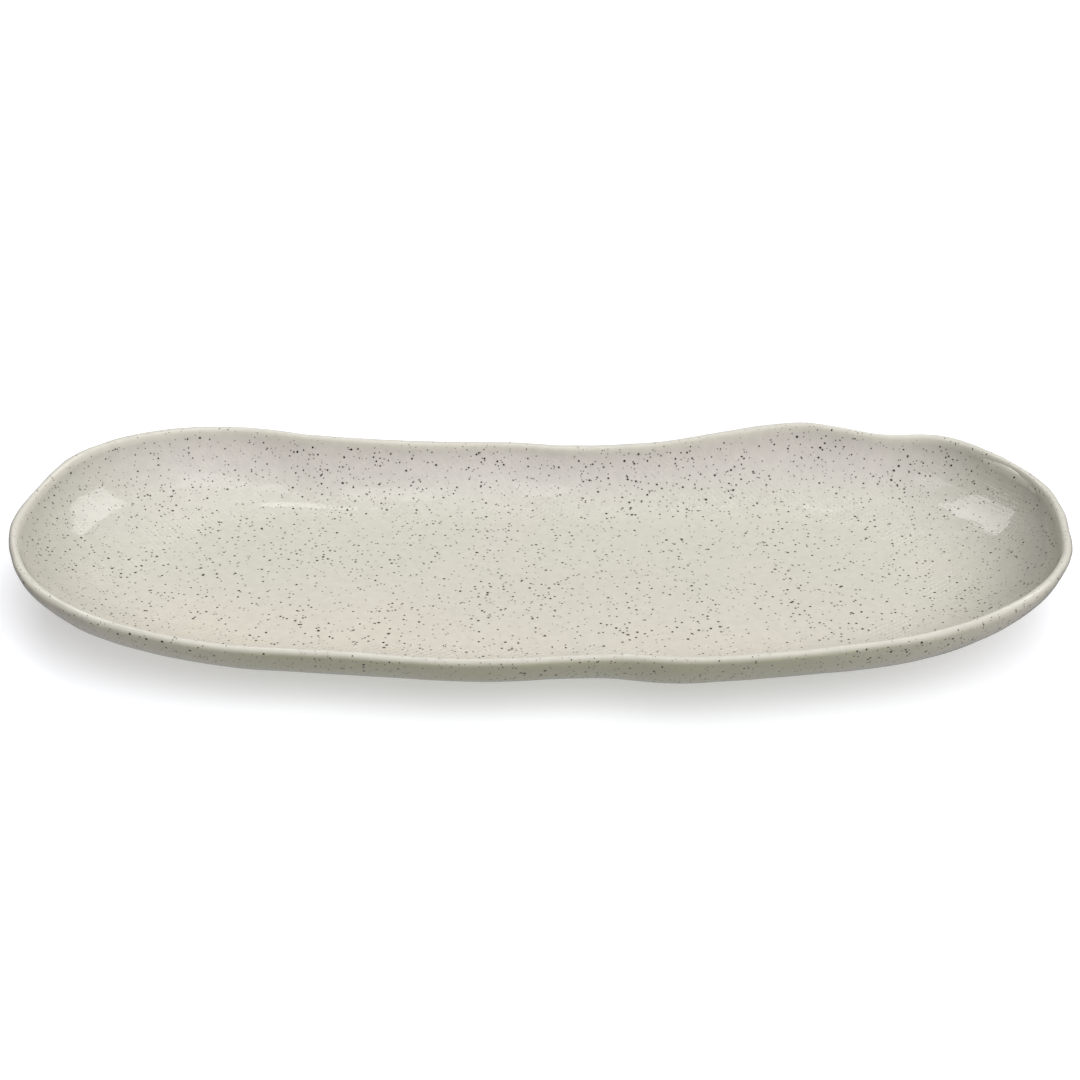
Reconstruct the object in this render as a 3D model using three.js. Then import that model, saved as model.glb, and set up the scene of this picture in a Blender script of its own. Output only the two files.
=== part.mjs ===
// A long free-form serving platter, in millimetres. +Z is up and z = 0 is the table it stands on.
// It is one slab of clay pressed into a shallow boat, an oval coil of clay luted under it as a foot,
// a glaze over the inside, the lip and the outside, and a patch of the same glaze inside the foot.
//
// Every piece is turned as a flat disc or ring on a wheel of radius 100, then pressed onto the
// platter's form. On the disc, 0 is the middle of the floor, footRadius is the line of the foot and
// lipRadius is the line of the lip. Height on the disc is the distance from the middle of the slab.
import * as THREE from 'three';

// The lip's centre line, walked round from the right-hand end: x, y and height above the table.
const lipPoints = [
  [231, -3, 35],
  [230, 35, 34],
  [216, 64, 34],
  [189, 89, 33],
  [161, 91, 33],
  [124, 99, 35],
  [90, 94, 33],
  [52, 88, 30],
  [14, 88, 28],
  [-14, 92, 28],
  [-60, 89, 30],
  [-108, 92, 32],
  [-143, 98, 33],
  [-182, 94, 33],
  [-213, 75, 33],
  [-230, 35, 33],
  [-232, -8, 34],
  [-217, -45, 33],
  [-187, -71, 32],
  [-140, -86, 29],
  [-85, -92, 28],
  [-30, -98, 28],
  [30, -96, 29],
  [62, -101, 31],
  [120, -95, 32],
  [168, -84, 34],
  [204, -63, 37],
  [224, -34, 37],
];

// The foot line is the lip line drawn in to this share of its length and of its width.
const footShareOfLength = 0.7;
const footShareOfWidth = 0.5;

const floorHeight = 7; // middle of the slab above the table
const wallSweep = THREE.MathUtils.degToRad(82); // how far the wall turns up from the floor
const clayFloor = 4; // thickness of the clay in the floor
const clayLip = 3; // and at the lip
const glazeThickness = 0.4;
const glazeGap = 0.3; // clearance between the clay and what lies on it
const footWidth = 6; // at the root of the foot
const footTread = 3.6; // flat width that touches the table
const footChamfer = 0.8;
const dryMargin = 1; // bare clay left on each side of the foot

// Radii on the flat disc. Within flatBand of the foot line, and past the lip line, a millimetre on
// the disc is a millimetre on the platter, so that the foot and the round of the lip keep their size.
const footRadius = 50;
const flatBand = 6;
const lipRadius = 100;
const floorRadius = footRadius + flatBand;

// How finely the shapes are cut
const stepsPerLipPoint = 3;
const wallSteps = 6;
const roundSteps = 4;
const probe = 0.01; // small step that finds a direction on the form

const glazeColour = 0xd5cfc1;
const bareClayColour = 0xb9a68c;

// The lip line, shifted so that the platter is centred on the origin
const lipCurve = new THREE.CatmullRomCurve3(
  lipPoints.map(([x, y, z]) => new THREE.Vector3(x, y, z)),
  true,
);
const lipMiddle = new THREE.Box3().setFromPoints(lipCurve.getPoints(lipPoints.length * 20));
const centring = lipMiddle.getCenter(new THREE.Vector3()).setZ(0);

function lipAt(turn) {
  return lipCurve.getPoint(THREE.MathUtils.euclideanModulo(turn, 1)).sub(centring);
}

function footLineAt(turn) {
  const lip = lipAt(turn);
  return new THREE.Vector3(lip.x * footShareOfLength, lip.y * footShareOfWidth, floorHeight);
}

// A point of the flat floor, a number of millimetres outside the foot line
function besideFoot(turn, outside) {
  const ahead = footLineAt(turn + probe / lipRadius);
  const along = ahead.sub(footLineAt(turn - probe / lipRadius));
  const outward = new THREE.Vector3(along.y, -along.x, 0).normalize();
  return footLineAt(turn).addScaledVector(outward, outside);
}

// The middle of the slab: flat floor, flat band round the foot, then a wall that curls up to the lip
function slabMiddle(turn, radius) {
  if (radius < footRadius - flatBand) {
    const edge = besideFoot(turn, -flatBand);
    const share = radius / (footRadius - flatBand);
    return new THREE.Vector3(edge.x * share, edge.y * share, floorHeight);
  }
  if (radius <= floorRadius) {
    return besideFoot(turn, radius - footRadius);
  }
  const sweep = (wallSweep * (radius - floorRadius)) / (lipRadius - floorRadius);
  const edge = besideFoot(turn, flatBand);
  const lip = lipAt(turn);
  const out = Math.sin(sweep) / Math.sin(wallSweep);
  const up = (1 - Math.cos(sweep)) / (1 - Math.cos(wallSweep));
  return new THREE.Vector3(
    THREE.MathUtils.lerp(edge.x, lip.x, out),
    THREE.MathUtils.lerp(edge.y, lip.y, out),
    THREE.MathUtils.lerp(edge.z, lip.z, up),
  );
}

// Moves a point of the flat disc onto the form
function placeOnForm(turn, radius, height) {
  const onSlab = Math.min(radius, lipRadius);
  const place = slabMiddle(turn, onSlab);
  if (onSlab <= floorRadius) {
    return place.setZ(place.z + height);
  }
  const outward = slabMiddle(turn, onSlab).sub(slabMiddle(turn, onSlab - probe)).normalize();
  const ahead = slabMiddle(turn + probe / lipRadius, onSlab);
  const along = ahead.sub(slabMiddle(turn - probe / lipRadius, onSlab)).normalize();
  const upward = new THREE.Vector3().crossVectors(outward, along).normalize();
  return place.addScaledVector(outward, radius - onSlab).addScaledVector(upward, height);
}

// Turns a profile on the wheel and presses the result onto the form
function pressed(name, profile, material) {
  const shape = new THREE.LatheGeometry(profile, lipPoints.length * stepsPerLipPoint);
  const spots = shape.attributes.position;
  for (let i = 0; i < spots.count; i += 1) {
    const radius = Math.hypot(spots.getX(i), spots.getZ(i));
    const turn = Math.atan2(spots.getX(i), spots.getZ(i)) / (2 * Math.PI);
    const place = placeOnForm(turn, radius, spots.getY(i));
    spots.setXYZ(i, place.x, place.y, place.z);
  }
  shape.computeVertexNormals();
  const mesh = new THREE.Mesh(shape, material);
  mesh.name = name;
  return mesh;
}

// Half the clay's thickness: even over the floor, then thinning up the wall to the lip
function halfClay(radius) {
  const climb = THREE.MathUtils.clamp((radius - floorRadius) / (lipRadius - floorRadius), 0, 1);
  return THREE.MathUtils.lerp(clayFloor, clayLip, climb) / 2;
}

// One face of the slab, from the middle or the foot out to the lip, a distance outside the clay
function face(from, side, outside) {
  const radii = [from, floorRadius];
  for (let step = 1; step <= wallSteps; step += 1) {
    radii.push(THREE.MathUtils.lerp(floorRadius, lipRadius, step / wallSteps));
  }
  return radii.map((radius) => new THREE.Vector2(radius, side * (halfClay(radius) + outside)));
}

// The half round over the lip, from its underside to its top
function lipRound(outside) {
  const size = clayLip / 2 + outside;
  const round = [];
  for (let step = 1; step < roundSteps; step += 1) {
    const angle = Math.PI * (step / roundSteps - 0.5);
    round.push(new THREE.Vector2(lipRadius + size * Math.cos(angle), size * Math.sin(angle)));
  }
  return round;
}

const glaze = () => new THREE.MeshStandardMaterial({ color: glazeColour, roughness: 0.15 });
const bareClay = () => new THREE.MeshStandardMaterial({ color: bareClayColour, roughness: 0.8 });

function clayBody() {
  const profile = [...face(0, -1, 0), ...lipRound(0), ...face(0, 1, 0).reverse()];
  return pressed('clay_body', profile, bareClay());
}

// An unbroken skin: up the clay's inside, over the lip and down the outside to just above the foot
function glazeCoat() {
  const stop = footRadius + footWidth / 2 + dryMargin;
  const skin = glazeGap + glazeThickness;
  const profile = [
    ...face(0, 1, glazeGap),
    ...lipRound(glazeGap).reverse(),
    ...face(stop, -1, glazeGap).reverse(),
    ...face(stop, -1, skin),
    ...lipRound(skin),
    ...face(0, 1, skin).reverse(),
  ];
  return pressed('glaze_coat', profile, glaze());
}

function glazeUnderside() {
  const stop = footRadius - footWidth / 2 - dryMargin;
  const top = -(clayFloor / 2 + glazeGap);
  const bottom = top - glazeThickness;
  const profile = [
    new THREE.Vector2(0, bottom),
    new THREE.Vector2(stop, bottom),
    new THREE.Vector2(stop, top),
    new THREE.Vector2(0, top),
  ];
  return pressed('glaze_underside', profile, glaze());
}

// A coil that tapers down to a flat tread with broken edges, luted close under the clay
function footRing() {
  const root = -(clayFloor / 2 + glazeGap);
  const table = -floorHeight;
  const outline = [
    [-footWidth / 2, root],
    [-footTread / 2 - footChamfer, table + footChamfer],
    [-footTread / 2, table],
    [footTread / 2, table],
    [footTread / 2 + footChamfer, table + footChamfer],
    [footWidth / 2, root],
    [-footWidth / 2, root],
  ];
  const profile = outline.map(([across, height]) => new THREE.Vector2(footRadius + across, height));
  return pressed('foot_ring', profile, bareClay());
}

const platter = new THREE.Group();
platter.add(clayBody(), footRing(), glazeCoat(), glazeUnderside());

export default platter;
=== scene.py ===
import math
import bpy
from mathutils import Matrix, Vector


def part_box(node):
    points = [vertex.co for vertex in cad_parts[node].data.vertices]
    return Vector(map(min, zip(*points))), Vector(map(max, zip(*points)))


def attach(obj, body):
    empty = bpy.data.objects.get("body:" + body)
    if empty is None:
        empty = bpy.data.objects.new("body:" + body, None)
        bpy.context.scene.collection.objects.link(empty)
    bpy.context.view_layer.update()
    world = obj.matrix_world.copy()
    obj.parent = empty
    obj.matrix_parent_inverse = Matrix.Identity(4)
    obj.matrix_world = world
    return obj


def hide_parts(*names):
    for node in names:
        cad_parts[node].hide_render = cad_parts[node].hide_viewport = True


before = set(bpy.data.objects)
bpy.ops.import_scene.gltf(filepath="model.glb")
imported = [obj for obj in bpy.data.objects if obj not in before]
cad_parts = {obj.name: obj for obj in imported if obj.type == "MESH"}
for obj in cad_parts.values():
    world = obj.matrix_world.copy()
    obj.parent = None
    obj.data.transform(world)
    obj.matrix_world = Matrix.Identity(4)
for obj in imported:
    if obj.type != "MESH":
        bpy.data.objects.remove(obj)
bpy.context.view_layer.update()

print("frame loaded:", sorted(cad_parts))

mm = 0.001

# the lip's centre line, walked round from the right-hand end: across, back and up, in metres
lipPoints = [
    (0.231, -0.003, 0.035), (0.230, 0.035, 0.034), (0.216, 0.064, 0.034), (0.189, 0.089, 0.033),
    (0.161, 0.091, 0.033), (0.124, 0.099, 0.035), (0.090, 0.094, 0.033), (0.052, 0.088, 0.030),
    (0.014, 0.088, 0.028), (-0.014, 0.092, 0.028), (-0.060, 0.089, 0.030), (-0.108, 0.092, 0.032),
    (-0.143, 0.098, 0.033), (-0.182, 0.094, 0.033), (-0.213, 0.075, 0.033), (-0.230, 0.035, 0.033),
    (-0.232, -0.008, 0.034), (-0.217, -0.045, 0.033), (-0.187, -0.071, 0.032), (-0.140, -0.086, 0.029),
    (-0.085, -0.092, 0.028), (-0.030, -0.098, 0.028), (0.030, -0.096, 0.029), (0.062, -0.101, 0.031),
    (0.120, -0.095, 0.032), (0.168, -0.084, 0.034), (0.204, -0.063, 0.037), (0.224, -0.034, 0.037),
]

# every piece starts as a flat disc or ring and is then pressed onto the form
disc = {
    "foot radius": 50 * mm,
    "flat band": 6 * mm,  # flat clay each side of the foot line
    "lip radius": 100 * mm,
    "clay in floor": 4 * mm,
    "clay at lip": 3 * mm,
    "gap to clay": 0.3 * mm,
    "glaze": 0.4 * mm,
    "dry margin": 1 * mm,  # bare clay beside the foot
    "foot width": 6 * mm,
    "foot tread": 3.6 * mm,
    "foot easing": 0.6 * mm,  # added each side where the tread's edge is rubbed round
    "foot roundness": 0.45,  # 1 is a round coil, and less is squarer
}

# how far apart the lumps of each kind of unevenness are
lumpSizes = {
    "hand": 50 * mm,
    "outside": 30 * mm,
    "lip": 22 * mm,
    "ripple": 9 * mm,
    "patch": 20 * mm,
    "foot": 14 * mm,
}
outsideStretch = (0.45, 0.9, 1.5)  # the flats outside are long and low

# the rest of the form is read off the frame
coatLow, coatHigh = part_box("glaze_coat")
footLow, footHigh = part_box("foot_ring")
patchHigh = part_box("glaze_underside")[1]
skin = disc["gap to clay"] + disc["glaze"]
lipOverhang = disc["clay at lip"] / 2 + skin
floorHeight = patchHigh.z + disc["clay in floor"] / 2 + disc["gap to clay"]
lipReach = (coatHigh - coatLow) / 2 - Vector((lipOverhang,) * 3)
footReach = (footHigh - footLow) / 2 - Vector((disc["foot width"] / 2,) * 3)
form = {
    "Foot Share": (footReach.x / lipReach.x, footReach.y / lipReach.y, 0.0),
    "Floor Height": floorHeight,
    "Wall Sweep": math.radians(82),
}


def wire(tree, socket, value):
    if isinstance(value, bpy.types.NodeSocket):
        tree.links.new(value, socket)
    else:
        socket.default_value = value


def addNode(tree, kind, inputs=None, **settings):
    node = tree.nodes.new(kind)
    for name, value in settings.items():
        setattr(node, name, value)
    for key, value in (inputs or {}).items():
        wire(tree, node.inputs[key], value)
    return node


def calc(tree, operation, *values):
    return addNode(tree, "ShaderNodeMath", dict(enumerate(values)), operation=operation).outputs[0]


def vectorCalc(tree, operation, *values):
    node = addNode(tree, "ShaderNodeVectorMath", dict(enumerate(values)), operation=operation)
    return node.outputs["Vector"]


def scaled(tree, vector, amount):
    node = addNode(tree, "ShaderNodeVectorMath", {0: vector, 3: amount}, operation="SCALE")
    return node.outputs["Vector"]


def joined(tree, x, y, z):
    return addNode(tree, "ShaderNodeCombineXYZ", {0: x, 1: y, 2: z}).outputs[0]


def ramp(tree, value, fromLow, fromHigh, toLow=0.0, toHigh=1.0, kind="LINEAR"):
    ends = {"Value": value, "From Min": fromLow, "From Max": fromHigh, "To Min": toLow, "To Max": toHigh}
    return addNode(tree, "ShaderNodeMapRange", ends, interpolation_type=kind).outputs["Result"]


def noise(tree, place, size, detail=2.0, seed=0.0):
    # cloudy noise from 0 to 1, whose lumps are about size metres across
    shift = vectorCalc(tree, "ADD", place, (seed, seed * 0.7, seed * 1.3))
    return addNode(tree, "ShaderNodeTexNoise", {"Vector": shift, "Scale": 1 / size, "Detail": detail})


def newTree(name, inputs, outputs):
    tree = bpy.data.node_groups.new(name, "GeometryNodeTree")
    for label, kind in inputs.items():
        tree.interface.new_socket(label, in_out="INPUT", socket_type="NodeSocket" + kind)
    for label, kind in outputs.items():
        tree.interface.new_socket(label, in_out="OUTPUT", socket_type="NodeSocket" + kind)
    return tree, tree.nodes.new("NodeGroupInput").outputs, tree.nodes.new("NodeGroupOutput").inputs


formInputs = {"Foot Share": "Vector", "Floor Height": "Float", "Wall Sweep": "Float"}


def formGroup():
    # moves a point of the flat disc onto the form: flat floor, flat band at the foot, curled wall
    spots = {"Lip Line": "Geometry", "Turn": "Float", "Radius": "Float", "Height": "Float"}
    tree, given, result = newTree(
        "Platter Form", {**spots, **formInputs}, {"Place": "Vector", "Cloth": "Vector", "Climb": "Float"}
    )
    lip = addNode(
        tree, "GeometryNodeSampleCurve", {"Curves": given["Lip Line"], "Factor": given["Turn"]},
        mode="FACTOR", use_all_curves=True,
    )
    bandStart = disc["foot radius"] - disc["flat band"]
    bandEnd = disc["foot radius"] + disc["flat band"]

    # the foot line is the lip line drawn in, and outward is square to it
    floorLift = joined(tree, 0.0, 0.0, given["Floor Height"])
    footLine = vectorCalc(tree, "MULTIPLY_ADD", lip.outputs["Position"], given["Foot Share"], floorLift)
    footAlong = vectorCalc(tree, "MULTIPLY", lip.outputs["Tangent"], given["Foot Share"])
    outward = vectorCalc(
        tree, "NORMALIZE", vectorCalc(tree, "CROSS_PRODUCT", footAlong, (0.0, 0.0, 1.0))
    )
    bandWidth = scaled(tree, outward, disc["flat band"])
    innerEdge = vectorCalc(tree, "SUBTRACT", footLine, bandWidth)
    outerEdge = vectorCalc(tree, "ADD", footLine, bandWidth)
    rise = vectorCalc(tree, "SUBTRACT", lip.outputs["Position"], outerEdge)

    # shares of the way over the floor, the band and the wall
    overFloor = ramp(tree, given["Radius"], 0.0, bandStart)
    overBand = ramp(tree, given["Radius"], bandStart, bandEnd, 0.0, bandEnd - bandStart)
    climb = ramp(tree, given["Radius"], bandEnd, disc["lip radius"])
    sweep = calc(tree, "MULTIPLY", climb, given["Wall Sweep"])
    sineAll = calc(tree, "SINE", given["Wall Sweep"])
    liftAll = calc(tree, "SUBTRACT", 1.0, calc(tree, "COSINE", given["Wall Sweep"]))
    out = calc(tree, "DIVIDE", calc(tree, "SINE", sweep), sineAll)
    up = calc(tree, "DIVIDE", calc(tree, "SUBTRACT", 1.0, calc(tree, "COSINE", sweep)), liftAll)

    middle = vectorCalc(tree, "MULTIPLY", innerEdge, joined(tree, overFloor, overFloor, 1.0))
    middle = vectorCalc(tree, "ADD", middle, scaled(tree, outward, overBand))
    middle = vectorCalc(tree, "MULTIPLY_ADD", rise, joined(tree, out, out, up), middle)

    # directions across, along and square to the slab
    outRate = calc(tree, "DIVIDE", calc(tree, "COSINE", sweep), sineAll)
    upRate = calc(tree, "DIVIDE", calc(tree, "SINE", sweep), liftAll)
    across = vectorCalc(
        tree, "NORMALIZE", vectorCalc(tree, "MULTIPLY", rise, joined(tree, outRate, outRate, upRate))
    )
    drawIn = addNode(
        tree, "ShaderNodeMix", {"Factor": out, 4: given["Foot Share"], 5: (1.0, 1.0, 0.0)},
        data_type="VECTOR",
    ).outputs[1]
    stretch = vectorCalc(tree, "ADD", drawIn, joined(tree, 0.0, 0.0, up))
    along = vectorCalc(tree, "MULTIPLY", lip.outputs["Tangent"], stretch)
    square = vectorCalc(tree, "NORMALIZE", vectorCalc(tree, "CROSS_PRODUCT", across, along))

    pastLip = calc(tree, "MAXIMUM", calc(tree, "SUBTRACT", given["Radius"], disc["lip radius"]), 0.0)
    place = vectorCalc(tree, "ADD", middle, scaled(tree, across, pastLip))
    place = vectorCalc(tree, "ADD", place, scaled(tree, square, given["Height"]))

    # the cloth lies along the wall, so it runs further out than the wall's plan does
    spreadPerRise = 0.5
    fullHeight = addNode(tree, "ShaderNodeSeparateXYZ", {0: rise}).outputs[2]
    wallHeight = calc(tree, "MULTIPLY", fullHeight, up)
    spread = scaled(tree, outward, calc(tree, "MULTIPLY", wallHeight, spreadPerRise))
    cloth = vectorCalc(tree, "ADD", middle, spread)
    wire(tree, result["Place"], place)
    wire(tree, result["Cloth"], cloth)
    wire(tree, result["Climb"], climb)
    return tree


def slabGroup():
    # the outline of the slab on the disc: out underneath, round the lip and back over the top
    walk = {"Walk": "Float", "Start Radius": "Float", "Outside Clay": "Float"}
    tree, given, result = newTree(
        "Slab Outline", walk, {"Radius": "Float", "Height": "Float", "Inside": "Float"}
    )
    lipRadius = disc["lip radius"]
    bandEnd = disc["foot radius"] + disc["flat band"]
    underEnd, topStart = 0.27, 0.33  # the round of the lip lies between these shares of the walk
    under = ramp(tree, given["Walk"], 0.0, underEnd, given["Start Radius"], lipRadius)
    over = ramp(tree, given["Walk"], topStart, 1.0, 0.0, -lipRadius)
    radius = calc(tree, "ADD", under, over)
    angle = ramp(tree, given["Walk"], underEnd, topStart, -math.pi / 2, math.pi / 2)
    inside = calc(tree, "SINE", angle)
    halfClay = ramp(tree, radius, bandEnd, lipRadius, disc["clay in floor"] / 2, disc["clay at lip"] / 2)
    size = calc(tree, "ADD", halfClay, given["Outside Clay"])
    wire(tree, result["Radius"], calc(tree, "MULTIPLY_ADD", size, calc(tree, "COSINE", angle), radius))
    wire(tree, result["Height"], calc(tree, "MULTIPLY", size, inside))
    wire(tree, result["Inside"], inside)
    return tree


pressTree = formGroup()
slabTree = slabGroup()


def useGroup(tree, group, **inputs):
    node = tree.nodes.new("GeometryNodeGroup")
    node.node_tree = group
    for label, value in inputs.items():
        wire(tree, node.inputs[label.replace("_", " ")], value)
    return node.outputs


def startPiece(name, extras=None):
    # a tree with the form's inputs, a sheet to shape, and each sheet point's turn and step
    inputs = {"Lip Line": "Geometry", "Turns": "Int", "Rows": "Int", **formInputs, "Finish": "Material"}
    tree, given, result = newTree(name, {**inputs, **(extras or {})}, {"Piece": "Geometry"})
    sheet = addNode(
        tree, "GeometryNodeMeshGrid",
        {
            "Size X": 1.0, "Size Y": 1.0,
            "Vertices X": calc(tree, "ADD", given["Turns"], 1.0),
            "Vertices Y": calc(tree, "ADD", given["Rows"], 1.0),
        },
    )
    place = tree.nodes.new("GeometryNodeInputPosition").outputs[0]
    spot = addNode(tree, "ShaderNodeSeparateXYZ", {0: place})
    turn = calc(tree, "ADD", spot.outputs[0], 0.5)
    step = calc(tree, "ADD", spot.outputs[1], 0.5)
    return tree, given, result, sheet.outputs["Mesh"], turn, step


def keep(tree, mesh, name, value, kind="FLOAT"):
    node = addNode(
        tree, "GeometryNodeStoreNamedAttribute", {"Geometry": mesh, "Name": name}, data_type=kind
    )
    wire(tree, node.inputs["Value"], value)
    return node.outputs[0]


def recall(tree, name, kind="FLOAT"):
    node = addNode(tree, "GeometryNodeInputNamedAttribute", {"Name": name}, data_type=kind)
    return node.outputs["Attribute"]


def pressSheet(tree, given, mesh, turn, radius, height):
    # presses the sheet onto the form, keeps what the finishes read, and closes its seam and poles
    spot = useGroup(
        tree, pressTree, Lip_Line=given["Lip Line"], Turn=turn, Radius=radius, Height=height,
        Foot_Share=given["Foot Share"], Floor_Height=given["Floor Height"],
        Wall_Sweep=given["Wall Sweep"],
    )
    mesh = keep(tree, mesh, "climb", spot["Climb"])
    mesh = keep(tree, mesh, "cloth", spot["Cloth"], "FLOAT_VECTOR")
    onForm = {"Geometry": mesh, "Position": spot["Place"]}
    mesh = addNode(tree, "GeometryNodeSetPosition", onForm).outputs[0]
    weldDistance = 0.005 * mm
    weld = {"Geometry": mesh, "Distance": weldDistance}
    return addNode(tree, "GeometryNodeMergeByDistance", weld).outputs[0]


def emboss(tree, mesh, amount):
    normal = tree.nodes.new("GeometryNodeInputNormal").outputs[0]
    shift = scaled(tree, normal, amount)
    return addNode(tree, "GeometryNodeSetPosition", {"Geometry": mesh, "Offset": shift}).outputs[0]


def lumps(tree, size, stretch=(1.0, 1.0, 1.0), seed=0.0):
    # noise from about -1 to 1 on the piece's own place
    place = vectorCalc(tree, "MULTIPLY", tree.nodes.new("GeometryNodeInputPosition").outputs[0], stretch)
    return ramp(tree, noise(tree, place, size, seed=seed).outputs[0], 0.25, 0.75, -1.0, 1.0)


def finishTree(tree, given, result, mesh):
    mesh = addNode(tree, "GeometryNodeSetShadeSmooth", {"Geometry": mesh}).outputs[0]
    mesh = addNode(tree, "GeometryNodeRealizeInstances", {"Geometry": mesh}).outputs[0]
    finish = {"Geometry": mesh, "Material": given["Finish"]}
    mesh = addNode(tree, "GeometryNodeSetMaterial", finish).outputs[0]
    wire(tree, result["Piece"], mesh)
    return tree


def clayTree():
    tree, given, result, mesh, turn, step = startPiece("Press Clay Body")
    edge = useGroup(tree, slabTree, Walk=step, Start_Radius=0.0, Outside_Clay=0.0)
    mesh = pressSheet(tree, given, mesh, turn, edge["Radius"], edge["Height"])
    return finishTree(tree, given, result, mesh)


def coatTree():
    extras = {"Hand Wave": "Float", "Outside Wave": "Float", "Lip Wave": "Float", "Glaze Ripple": "Float"}
    tree, given, result, mesh, turn, step = startPiece("Press Glaze Coat", extras)
    # a few rows run back along the clay, out of sight, and the rest are the glaze that shows
    hidden = 0.1
    fullThickness, fullUnevenness = 0.012, 0.02  # shares of the shown walk by which each is reached
    walkIn = ramp(tree, step, 0.0, hidden, 1.0, 0.0)
    walkOut = ramp(tree, step, hidden, 1.0)
    walk = calc(tree, "ADD", walkIn, walkOut)
    thickness = ramp(tree, walkOut, 0.0, fullThickness, disc["gap to clay"], skin, "SMOOTHSTEP")
    start = disc["foot radius"] + disc["foot width"] / 2 + disc["dry margin"]
    edge = useGroup(tree, slabTree, Walk=walk, Start_Radius=start, Outside_Clay=thickness)
    mesh = keep(tree, mesh, "inside", edge["Inside"])
    mesh = keep(tree, mesh, "shown", ramp(tree, walkOut, 0.0, fullUnevenness))
    mesh = pressSheet(tree, given, mesh, turn, edge["Radius"], edge["Height"])

    # the unevenness of hand pressing, only on the face that shows
    inside = recall(tree, "inside")
    climb = recall(tree, "climb")
    nearLip = ramp(tree, climb, 0.82, 1.0, kind="SMOOTHSTEP")
    outer = ramp(tree, inside, -0.6, 0.2, 1.0, 0.0)
    inner = ramp(tree, inside, 0.2, 0.9)
    hand = calc(tree, "MULTIPLY", lumps(tree, lumpSizes["hand"]), inner)
    wave = calc(tree, "MULTIPLY", hand, given["Hand Wave"])
    flats = calc(tree, "MULTIPLY", lumps(tree, lumpSizes["outside"], outsideStretch, seed=3.1), outer)
    wave = calc(tree, "MULTIPLY_ADD", flats, given["Outside Wave"], wave)
    bead = calc(tree, "MULTIPLY", lumps(tree, lumpSizes["lip"], seed=5.3), nearLip)
    wave = calc(tree, "MULTIPLY_ADD", bead, given["Lip Wave"], wave)
    ripple = lumps(tree, lumpSizes["ripple"], seed=7.7)
    wave = calc(tree, "MULTIPLY_ADD", ripple, given["Glaze Ripple"], wave)
    mesh = emboss(tree, mesh, calc(tree, "MULTIPLY", wave, recall(tree, "shown")))
    return finishTree(tree, given, result, mesh)


def patchTree():
    # the glaze inside the foot: a thin disc with a soft edge
    tree, given, result, mesh, turn, step = startPiece("Press Glaze Patch", {"Hand Wave": "Float"})
    stop = disc["foot radius"] - disc["foot width"] / 2 - disc["dry margin"]
    outStep, backStep = 0.8, 0.86  # the edge of the patch lies between these steps
    angle = ramp(tree, step, outStep, backStep, -math.pi / 2, math.pi / 2)
    half = disc["glaze"] / 2
    outward = ramp(tree, step, 0.0, outStep, 0.0, stop)
    radius = calc(tree, "ADD", outward, ramp(tree, step, backStep, 1.0, 0.0, -stop))
    radius = calc(tree, "MULTIPLY_ADD", calc(tree, "COSINE", angle), half, radius)
    centre = -(disc["clay in floor"] / 2 + disc["gap to clay"] + half)
    height = calc(tree, "MULTIPLY_ADD", calc(tree, "SINE", angle), half, centre)
    mesh = keep(tree, mesh, "inside", ramp(tree, step, outStep, backStep, -1.0, -0.9))
    mesh = keep(tree, mesh, "shown", ramp(tree, step, outStep, backStep, 1.0, 0.0))
    mesh = pressSheet(tree, given, mesh, turn, radius, height)
    wave = calc(tree, "MULTIPLY", lumps(tree, lumpSizes["patch"], seed=9.2), given["Hand Wave"])
    mesh = emboss(tree, mesh, calc(tree, "MULTIPLY", wave, recall(tree, "shown")))
    return finishTree(tree, given, result, mesh)


def footTree():
    # a coil with a flat ground tread and eased edges
    tree, given, result, mesh, turn, step = startPiece("Press Foot Ring", {"Hand Wave": "Float"})
    angle = ramp(tree, step, 0.0, 1.0, -math.pi / 2, 1.5 * math.pi)

    def squared(value):
        # pulls a round section towards a square one with eased corners
        sign = calc(tree, "SIGN", value)
        size = calc(tree, "POWER", calc(tree, "ABSOLUTE", value), disc["foot roundness"])
        return calc(tree, "MULTIPLY", sign, size)

    root = -(disc["clay in floor"] / 2 + disc["gap to clay"])
    sole = calc(tree, "MULTIPLY", given["Floor Height"], -1.0)
    rise = squared(calc(tree, "SINE", angle))
    treadHalf = disc["foot tread"] / 2 + disc["foot easing"]
    width = ramp(tree, rise, -1.0, 1.0, treadHalf, disc["foot width"] / 2)
    radius = calc(tree, "MULTIPLY_ADD", squared(calc(tree, "COSINE", angle)), width, disc["foot radius"])
    height = ramp(tree, rise, -1.0, 1.0, sole, root)
    mesh = pressSheet(tree, given, mesh, turn, radius, height)
    wave = calc(tree, "MULTIPLY", lumps(tree, lumpSizes["foot"], seed=2.4), given["Hand Wave"])
    mesh = emboss(tree, mesh, wave)

    # the tread is ground flat on the table, and the root stays clear of the clay
    place = tree.nodes.new("GeometryNodeInputPosition").outputs[0]
    spot = addNode(tree, "ShaderNodeSeparateXYZ", {0: place})
    rootPlane = calc(tree, "ADD", given["Floor Height"], root)
    flat = calc(tree, "MINIMUM", calc(tree, "MAXIMUM", spot.outputs[2], 0.0), rootPlane)
    ground = joined(tree, spot.outputs[0], spot.outputs[1], flat)
    mesh = addNode(tree, "GeometryNodeSetPosition", {"Geometry": mesh, "Position": ground}).outputs[0]
    return finishTree(tree, given, result, mesh)


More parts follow.
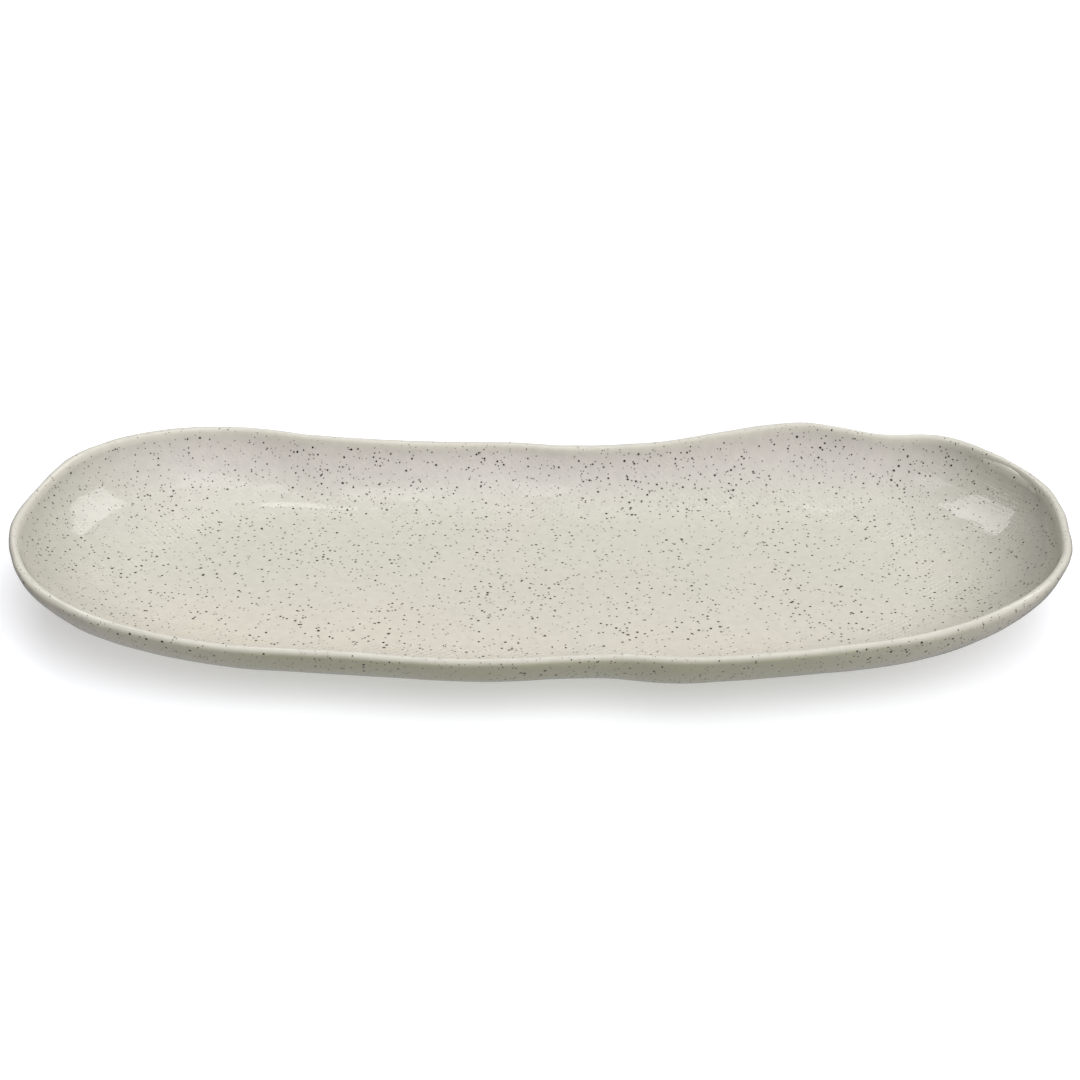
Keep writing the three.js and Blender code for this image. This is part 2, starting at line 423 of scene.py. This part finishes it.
def lipStretch(p0, p1, p2, p3, share):
    # a point that share of the way from p1 to p2, on the smooth line through all four
    t1 = math.sqrt((p1 - p0).length)
    t2 = t1 + math.sqrt((p2 - p1).length)
    t3 = t2 + math.sqrt((p3 - p2).length)
    t = t1 + (t2 - t1) * share
    a = p0.lerp(p1, t / t1)
    b = p1.lerp(p2, (t - t1) / (t2 - t1))
    c = p2.lerp(p3, (t - t2) / (t3 - t2))
    return a.lerp(b, t / t2).lerp(b.lerp(c, (t - t1) / (t3 - t1)), (t - t1) / (t2 - t1))


def lipCurve(stepsPerPoint=12):
    points = [Vector(p) for p in lipPoints]
    count = len(points)
    line = []
    for i in range(count):
        nearby = points[i - 1], points[i], points[(i + 1) % count], points[(i + 2) % count]
        line += [lipStretch(*nearby, k / stepsPerPoint) for k in range(stepsPerPoint)]
    # sits over the middle of the frame's own coat
    middle = [(min(p[i] for p in line) + max(p[i] for p in line)) / 2 for i in (0, 1)]
    frameMiddle = (coatLow + coatHigh) / 2
    shift = Vector((frameMiddle.x - middle[0], frameMiddle.y - middle[1], 0.0))
    curve = bpy.data.curves.new("lipLine", "CURVE")
    curve.dimensions = "3D"
    spline = curve.splines.new("POLY")
    spline.points.add(len(line) - 1)
    for spot, place in zip(spline.points, line):
        spot.co = (*(place + shift), 1.0)
    spline.use_cyclic_u = True
    return curve


def press(name, tree, settings, finish):
    # runs a tree on the lip line and keeps the result as a plain mesh
    maker = bpy.data.objects.new(name + "Maker", lipCurve())
    bpy.context.scene.collection.objects.link(maker)
    modifier = maker.modifiers.new("press", "NODES")
    modifier.node_group = tree
    values = {**form, **settings, "Finish": finish}
    for socket in tree.interface.items_tree:
        if socket.item_type == "SOCKET" and socket.in_out == "INPUT" and socket.name in values:
            modifier[socket.identifier] = values[socket.name]
    bpy.context.view_layer.update()
    made = maker.evaluated_get(bpy.context.evaluated_depsgraph_get())
    mesh = bpy.data.meshes.new_from_object(made)
    mesh.name = name
    bpy.data.objects.remove(maker)
    piece = bpy.data.objects.new(name, mesh)
    bpy.context.scene.collection.objects.link(piece)
    print(name, "pressed:", len(mesh.polygons), "faces")
    return piece


def newFinish(name):
    finish = bpy.data.materials.new(name)
    finish.use_nodes = True
    tree = finish.node_tree
    return finish, tree, tree.nodes["Principled BSDF"]


def blended(tree, amount, first, second, kind="MIX"):
    node = addNode(
        tree, "ShaderNodeMix", {0: amount, 6: first, 7: second}, data_type="RGBA", blend_type=kind
    )
    return node.outputs[2]


glazeLook = {
    "warm": (0.677, 0.636, 0.545, 1.0),
    "cool": (0.635, 0.627, 0.542, 1.0),
    "rose": (0.670, 0.622, 0.555, 1.0),
    # painted light: the tint of the light the back wall catches
    "back": (0.650, 0.612, 0.572, 1.0),
    # painted shade: the darker tone of the end walls
    "ends": (0.465, 0.452, 0.388, 1.0),
    "lip": (0.700, 0.672, 0.595, 1.0),
    # a greener glaze outside, whose darker value is partly painted shade
    "outside": (0.500, 0.490, 0.360, 1.0),
    "iron": (0.022, 0.018, 0.015, 1.0),
    "iron bleed": (0.24, 0.19, 0.14, 1.0),
    "bleed reach": 1.5,  # times the speck's radius
    "bleed strength": 0.22,
    "cloud size": 100 * mm,
    "cloud share": 0.6,  # how far clouds take the drift from warm to cool
    "cool per metre": 5.0,  # and how far it goes with each metre towards the back
    "blush size": 45 * mm,
    "grain size": 4 * mm,
    "gather size": 28 * mm,  # of the drifts that specks lie in
    "gloss size": 20 * mm,
    "ripple size": 3.5 * mm,
    "ripple depth": 0.03 * mm,
    "refraction": 1.46,
}

# how far out from the middle of the platter each change starts and ends
toneReach = {
    # reach of the painted light tint on the back wall
    "back": (10 * mm, 80 * mm),
    # reach of the painted shade on the end walls
    "ends": (160 * mm, 215 * mm),
    # reach of the painted light on the outside at the ends
    "outside end light": (110 * mm, 200 * mm),
    "bold print": (140 * mm, 180 * mm),
}

clothPrint = {
    "pitch": 2.6 * mm,
    "turn": math.radians(52),
    "depth": 0.040 * mm,
    "drag size": 30 * mm,  # the cloth as a whole lies a little out of true
    "drag reach": 2.4 * mm,
    "slub size": 4 * mm,  # and its threads are uneven
    "slub reach": 0.9 * mm,
    "worn size": 22 * mm,
    "on floor": 0.2,
    "on wall": 1.2,
    "on long sides": 1.3,  # added low on the wall, away from the ends
}

specks = [
    {"spacing": 4.9 * mm, "radius": 0.68 * mm, "on floor": 1.0, "on wall": 1.0},
    {"spacing": 3.7 * mm, "radius": 0.56 * mm, "on floor": 1.0, "on wall": 1.0},
    {"spacing": 2.9 * mm, "radius": 0.42 * mm, "on floor": 0.9, "on wall": 1.0},
    {"spacing": 2.4 * mm, "radius": 0.36 * mm, "on floor": 0.0, "on wall": 1.0},
]
speckSeedStep = 0.37


def wander(tree, place, size, reach, detail, seed):
    # a shift that drifts from point to point, by up to half of reach each way
    cloud = noise(tree, place, size, detail, seed).outputs["Color"]
    return scaled(tree, vectorCalc(tree, "SUBTRACT", cloud, (0.5, 0.5, 0.5)), reach)


def speckLayer(tree, place, spacing, radius, gather, seed):
    # round grains of iron: where the surface cuts through a grain it shows a dot
    bendSize, bendReach, solidPart = 2.2, 0.9, 0.68  # all times the radius
    shift = vectorCalc(tree, "ADD", place, (seed, seed, seed))
    bend = wander(tree, place, radius * bendSize, radius * bendReach, detail=1.0, seed=seed)
    shift = vectorCalc(tree, "ADD", shift, bend)
    cells = addNode(tree, "ShaderNodeTexVoronoi", {"Vector": shift, "Scale": 1 / spacing})
    gap = calc(tree, "MULTIPLY", cells.outputs["Distance"], spacing)
    size = calc(tree, "MULTIPLY", gather, radius)
    return ramp(tree, gap, calc(tree, "MULTIPLY", size, solidPart), size, 1.0, 0.0, "SMOOTHSTEP")


def glazeToneAndPaintedLight(tree, look, where):
    # the ground colour drifts between a warm and a cool cream, with a blush of rose
    place, climb = where["place"], where["climb"]
    clouds = noise(tree, place, look["cloud size"]).outputs[0]
    clouds = calc(tree, "MULTIPLY", clouds, look["cloud share"])
    drift = calc(tree, "MULTIPLY_ADD", where["backward"], look["cool per metre"], clouds)
    drift = ramp(tree, drift, 0.0, 0.45)
    colour = blended(tree, drift, look["warm"], look["cool"])
    blush = noise(tree, place, look["blush size"], detail=3.0, seed=2.2).outputs[0]
    blush = ramp(tree, blush, 0.45, 0.7, 0.0, 0.6)
    colour = blended(tree, blush, colour, look["rose"])

    # the back wall is a little pinker, a painted tint of the light it catches, and the end walls are
    # darker with painted shade, most of all on the right
    paintedBackTint = ramp(tree, where["backward"], *toneReach["back"])
    paintedBackTint = calc(tree, "MULTIPLY", paintedBackTint, ramp(tree, climb, 0.0, 0.7))
    colour = blended(tree, paintedBackTint, colour, look["back"])
    paintedEndShade = ramp(tree, where["endward"], *toneReach["ends"])
    paintedEndShade = calc(tree, "MULTIPLY", paintedEndShade, ramp(tree, climb, 0.0, 0.6))
    paintedEndShade = calc(tree, "MULTIPLY", paintedEndShade, ramp(tree, where["sideways"], -0.2, 0.2, 0.58, 0.92))
    colour = blended(tree, paintedEndShade, colour, look["ends"])

    # the outside is darker partly as painted shade, and towards the ends it is lifted back to the warm
    # cream as painted light
    paintedOutsideEndLight = ramp(tree, where["endward"], *toneReach["outside end light"])
    outsideToneShadeAndLight = blended(tree, paintedOutsideEndLight, look["outside"], look["warm"])
    colour = blended(tree, where["outer"], colour, outsideToneShadeAndLight)
    colour = blended(tree, where["on lip"], colour, look["lip"])
    grain = noise(tree, place, look["grain size"], detail=3.0, seed=6.1).outputs[0]
    grain = ramp(tree, grain, 0.3, 0.7, 0.96, 1.03)
    return blended(tree, 1.0, colour, joined(tree, grain, grain, grain), "MULTIPLY")


def scatterIron(tree, look, where, colour):
    # iron specks gather in drifts and run thin over the lip
    place, climb = where["place"], where["climb"]
    gather = noise(tree, place, look["gather size"], seed=8.8).outputs[0]
    gather = ramp(tree, gather, 0.3, 0.7, 0.72, 1.12)
    gather = calc(tree, "MULTIPLY", gather, ramp(tree, where["on lip"], 0.0, 1.0, 1.0, 0.7))
    gather = calc(tree, "MULTIPLY", gather, ramp(tree, climb, 0.0, 0.4, 1.02, 0.94))
    for index, speck in enumerate(specks):
        seed = speckSeedStep * (index + 1)
        spacing, radius = speck["spacing"], speck["radius"]
        strength = ramp(tree, climb, 0.0, 0.5, speck["on floor"], speck["on wall"])
        dots = speckLayer(tree, place, spacing, radius, gather, seed)
        halo = speckLayer(tree, place, spacing, radius * look["bleed reach"], gather, seed)
        faint = calc(tree, "MULTIPLY", strength, look["bleed strength"])
        colour = blended(tree, calc(tree, "MULTIPLY", halo, faint), colour, look["iron bleed"])
        colour = blended(tree, calc(tree, "MULTIPLY", dots, strength), colour, look["iron"])
    return colour


def clothRelief(tree, cloth, weave):
    # the print of a plain linen cloth
    drag = wander(tree, cloth, weave["drag size"], weave["drag reach"], detail=2.0, seed=1.7)
    slub = wander(tree, cloth, weave["slub size"], weave["slub reach"], detail=1.0, seed=4.4)
    pulled = vectorCalc(tree, "ADD", vectorCalc(tree, "ADD", cloth, drag), slub)
    turned = addNode(
        tree, "ShaderNodeVectorRotate", {"Vector": pulled, "Angle": weave["turn"]},
        rotation_type="Z_AXIS",
    )
    threads = addNode(tree, "ShaderNodeSeparateXYZ", {0: turned.outputs[0]})
    rate = 2 * math.pi / weave["pitch"]
    warp = calc(tree, "COSINE", calc(tree, "MULTIPLY", threads.outputs[0], rate))
    weft = calc(tree, "COSINE", calc(tree, "MULTIPLY", threads.outputs[1], rate))
    return ramp(tree, calc(tree, "MAXIMUM", warp, weft), -0.3, 0.75, kind="SMOOTHSTEP")


def clothStrength(tree, cloth, weave, where):
    # worn in patches, faint on the floor, bold on the wall and gone before the lip
    climb = where["climb"]
    worn = noise(tree, cloth, weave["worn size"], seed=5.5).outputs[0]
    worn = ramp(tree, worn, 0.40, 0.60, 0.1, 1.3)
    onWall = ramp(tree, climb, 0.0, 0.08, weave["on floor"], weave["on wall"])
    onWall = calc(tree, "MULTIPLY", onWall, ramp(tree, climb, 0.8, 0.97, 1.0, 0.0))
    longSide = ramp(tree, where["endward"], *toneReach["bold print"], weave["on long sides"], 0.0)
    longSide = calc(tree, "MULTIPLY", longSide, ramp(tree, climb, 0.3, 0.5, 1.0, 0.0))
    onWall = calc(tree, "MULTIPLY_ADD", onWall, longSide, onWall)
    return calc(tree, "MULTIPLY", worn, calc(tree, "MULTIPLY", where["inner"], onWall))


def attribute(tree, name, output="Fac"):
    # what the pressing kept about each point
    return addNode(tree, "ShaderNodeAttribute", attribute_name=name).outputs[output]


def glazeFinish(look, weave):
    finish, tree, shader = newFinish("speckledGlaze")
    place = tree.nodes.new("ShaderNodeTexCoord").outputs["Object"]
    sideways, backward = addNode(tree, "ShaderNodeSeparateXYZ", {0: place}).outputs[:2]
    climb = attribute(tree, "climb")
    inside = attribute(tree, "inside")
    outer = ramp(tree, inside, -0.98, -0.45, 1.0, 0.0)
    nearLip = ramp(tree, climb, 0.93, 1.0, kind="SMOOTHSTEP")
    where = {
        "place": place,
        "climb": climb,
        "sideways": sideways,
        "backward": backward,
        "endward": calc(tree, "ABSOLUTE", sideways),
        "inner": ramp(tree, inside, 0.1, 0.9),
        "outer": outer,
        "on lip": calc(tree, "MULTIPLY", nearLip, calc(tree, "SUBTRACT", 1.0, outer)),
    }
    colour = scatterIron(tree, look, where, glazeToneAndPaintedLight(tree, look, where))
    wire(tree, shader.inputs["Base Color"], colour)

    # a glassy surface over the print of the cloth
    gloss = noise(tree, place, look["gloss size"], detail=3.0, seed=3.3).outputs[0]
    wire(tree, shader.inputs["Roughness"], ramp(tree, gloss, 0.3, 0.7, 0.015, 0.03))
    shader.inputs["IOR"].default_value = look["refraction"]
    cloth = attribute(tree, "cloth", "Vector")
    relief = clothRelief(tree, cloth, weave)
    strength = clothStrength(tree, cloth, weave, where)
    threads = addNode(
        tree, "ShaderNodeBump",
        {"Distance": weave["depth"], "Height": calc(tree, "MULTIPLY", relief, strength)},
    )
    ripple = noise(tree, place, look["ripple size"], seed=7.1).outputs[0]
    skinBump = addNode(
        tree, "ShaderNodeBump",
        {"Distance": look["ripple depth"], "Height": ripple, "Normal": threads.outputs[0]},
    )
    wire(tree, shader.inputs["Normal"], skinBump.outputs[0])
    return finish


clayLook = {
    "light": (0.52, 0.42, 0.30, 1.0),
    "dark": (0.40, 0.31, 0.21, 1.0),
    "drift size": 20 * mm,
    "grog": (0.16, 0.10, 0.07, 1.0),
    "grog spacing": 2.0 * mm,
    "grog radius": 0.3 * mm,
    "grog strength": 0.7,
    "grit size": 1.2 * mm,
    "grit depth": 0.12 * mm,
    "roughness": 0.85,
}


def clayFinish(look):
    finish, tree, shader = newFinish("bareStoneware")
    place = tree.nodes.new("ShaderNodeTexCoord").outputs["Object"]
    drift = ramp(tree, noise(tree, place, look["drift size"], detail=4.0).outputs[0], 0.35, 0.65)
    colour = blended(tree, drift, look["light"], look["dark"])
    grog = speckLayer(tree, place, look["grog spacing"], look["grog radius"], 1.0, 1.1)
    colour = blended(tree, calc(tree, "MULTIPLY", grog, look["grog strength"]), colour, look["grog"])
    wire(tree, shader.inputs["Base Color"], colour)
    shader.inputs["Roughness"].default_value = look["roughness"]
    rough = noise(tree, place, look["grit size"], detail=4.0, seed=2.0).outputs[0]
    grit = addNode(tree, "ShaderNodeBump", {"Distance": look["grit depth"], "Height": rough})
    wire(tree, shader.inputs["Normal"], grit.outputs[0])
    return finish


speckledGlaze = glazeFinish(glazeLook, clothPrint)
bareStoneware = clayFinish(clayLook)
print("finishes mixed")


claySettings = {"Turns": 240, "Rows": 90}
clayBody = press("clayBody", clayTree(), claySettings, bareStoneware)
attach(clayBody, "root")
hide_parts("clay_body")

footSettings = {"Turns": 360, "Rows": 32, "Hand Wave": 0.12 * mm}
footRing = press("footRing", footTree(), footSettings, bareStoneware)
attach(footRing, "root")
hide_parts("foot_ring")

coatSettings = {
    "Turns": 400,
    "Rows": 236,
    "Hand Wave": 0.30 * mm,
    "Outside Wave": 0.65 * mm,
    "Lip Wave": 0.20 * mm,
    "Glaze Ripple": 0.04 * mm,
}
glazeCoat = press("glazeCoat", coatTree(), coatSettings, speckledGlaze)
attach(glazeCoat, "root")
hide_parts("glaze_coat")

patchSettings = {"Turns": 240, "Rows": 60, "Hand Wave": 0.08 * mm}
glazePatch = press("glazeUnderside", patchTree(), patchSettings, speckledGlaze)
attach(glazePatch, "root")
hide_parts("glaze_underside")
print("pieces pressed")


studio = {
    "floor half width": 4.0,
    "floor": (0.79, 0.80, 0.84, 1.0),
    "floor glow": 0.36,
    "floor roughness": 0.7,
    "top": {"towards": (0.0, 0.0, 1.0), "strength": 0.50, "spread": 3.0},
    "back": {"towards": (0.0, 0.80, 0.60), "strength": 0.38, "spread": 3.0},
    "below": {"towards": (0.0, -0.25, -0.97), "strength": 0.72, "spread": 1.0},
    "sun": {"towards": (0.33, -0.50, 0.80), "strength": 2.45, "softness": math.radians(65)},
}

# soft panels of light: where each hangs, what it faces, how wide and high it is, and its strength
panels = {
    "windowRight": {
        "place": (1.31, 2.62, 2.95), "aim": (-0.2, 0.04, 0), "size": (1.38, 1.20), "radiance": 2.7,
    },
    "windowLeft": {
        "place": (-1.23, 2.48, 2.99), "aim": (0.197, 0.045, 0), "size": (1.38, 1.20), "radiance": 3.1,
    },
    "overhead": {
        "place": (-0.155, 0.33, 1.2), "aim": (-0.1, 0.07, 0), "size": (0.22, 0.42), "radiance": 1.6,
    },
}


def layFloor():
    half = studio["floor half width"]
    mesh = bpy.data.meshes.new("tableTop")
    corners = [(-half, -half, 0), (half, -half, 0), (half, half, 0), (-half, half, 0)]
    mesh.from_pydata(corners, [], [(0, 1, 2, 3)])
    table = bpy.data.objects.new("tableTop", mesh)
    bpy.context.scene.collection.objects.link(table)
    finish, tree, shader = newFinish("paleFloor")
    shader.inputs["Base Color"].default_value = studio["floor"]
    shader.inputs["Emission Color"].default_value = (1.0, 1.0, 1.0, 1.0)
    shader.inputs["Emission Strength"].default_value = studio["floor glow"]
    shader.inputs["Roughness"].default_value = studio["floor roughness"]
    mesh.materials.append(finish)

    # it catches the platter's shadow, but doesn't light, shade or show in the platter itself
    table.visible_diffuse = False
    table.visible_glossy = False
    table.visible_shadow = False


def softLight(name, place, aim, size, radiance):
    lamp = bpy.data.lights.new(name, "AREA")
    lamp.shape = "RECTANGLE"
    lamp.size, lamp.size_y = size
    lamp.energy = radiance * math.pi * size[0] * size[1]
    light = bpy.data.objects.new(name, lamp)
    light.location = place
    light.rotation_euler = (Vector(aim) - Vector(place)).to_track_quat("-Z", "Y").to_euler()
    bpy.context.scene.collection.objects.link(light)


def softSky():
    # a dim dome that brightens smoothly overhead, towards the back and from below
    world = bpy.data.worlds.new("studio")
    world.use_nodes = True
    tree = world.node_tree
    towards = tree.nodes.new("ShaderNodeTexCoord").outputs["Generated"]
    glow = 0.0
    for part in (studio["top"], studio["back"], studio["below"]):
        aim = Vector(part["towards"]).normalized()
        facing = addNode(tree, "ShaderNodeVectorMath", {0: towards, 1: aim}, operation="DOT_PRODUCT")
        lobe = calc(tree, "POWER", calc(tree, "MAXIMUM", facing.outputs["Value"], 0.0), part["spread"])
        glow = calc(tree, "MULTIPLY_ADD", lobe, part["strength"], glow)
    background = tree.nodes["Background"]
    background.inputs["Color"].default_value = (1.0, 1.0, 1.0, 1.0)
    wire(tree, background.inputs["Strength"], glow)
    bpy.context.scene.world = world


def highSun():
    # lights the faces softly but leaves no reflection of itself in the glaze
    lamp = bpy.data.lights.new("highSun", "SUN")
    lamp.energy = studio["sun"]["strength"]
    lamp.angle = studio["sun"]["softness"]
    light = bpy.data.objects.new("highSun", lamp)
    light.rotation_euler = Vector(studio["sun"]["towards"]).to_track_quat("Z", "Y").to_euler()
    light.visible_glossy = False
    bpy.context.scene.collection.objects.link(light)


layFloor()
highSun()
for panelName, panel in panels.items():
    softLight(panelName, **panel)
softSky()
bpy.context.scene.view_settings.view_transform = "Standard"

viewing = {"elevation": math.radians(30), "distance": 1.1, "lens": 81.3, "aim": (0.0, 0.0172, 0.0205)}
lookDown = Vector((0.0, math.cos(viewing["elevation"]), -math.sin(viewing["elevation"])))
camera = bpy.data.objects.new("camera", bpy.data.cameras.new("camera"))
camera.data.lens = viewing["lens"]
camera.location = Vector(viewing["aim"]) - lookDown * viewing["distance"]
camera.rotation_euler = lookDown.to_track_quat("-Z", "Y").to_euler()
bpy.context.scene.collection.objects.link(camera)
bpy.context.scene.camera = camera
print("studio set")
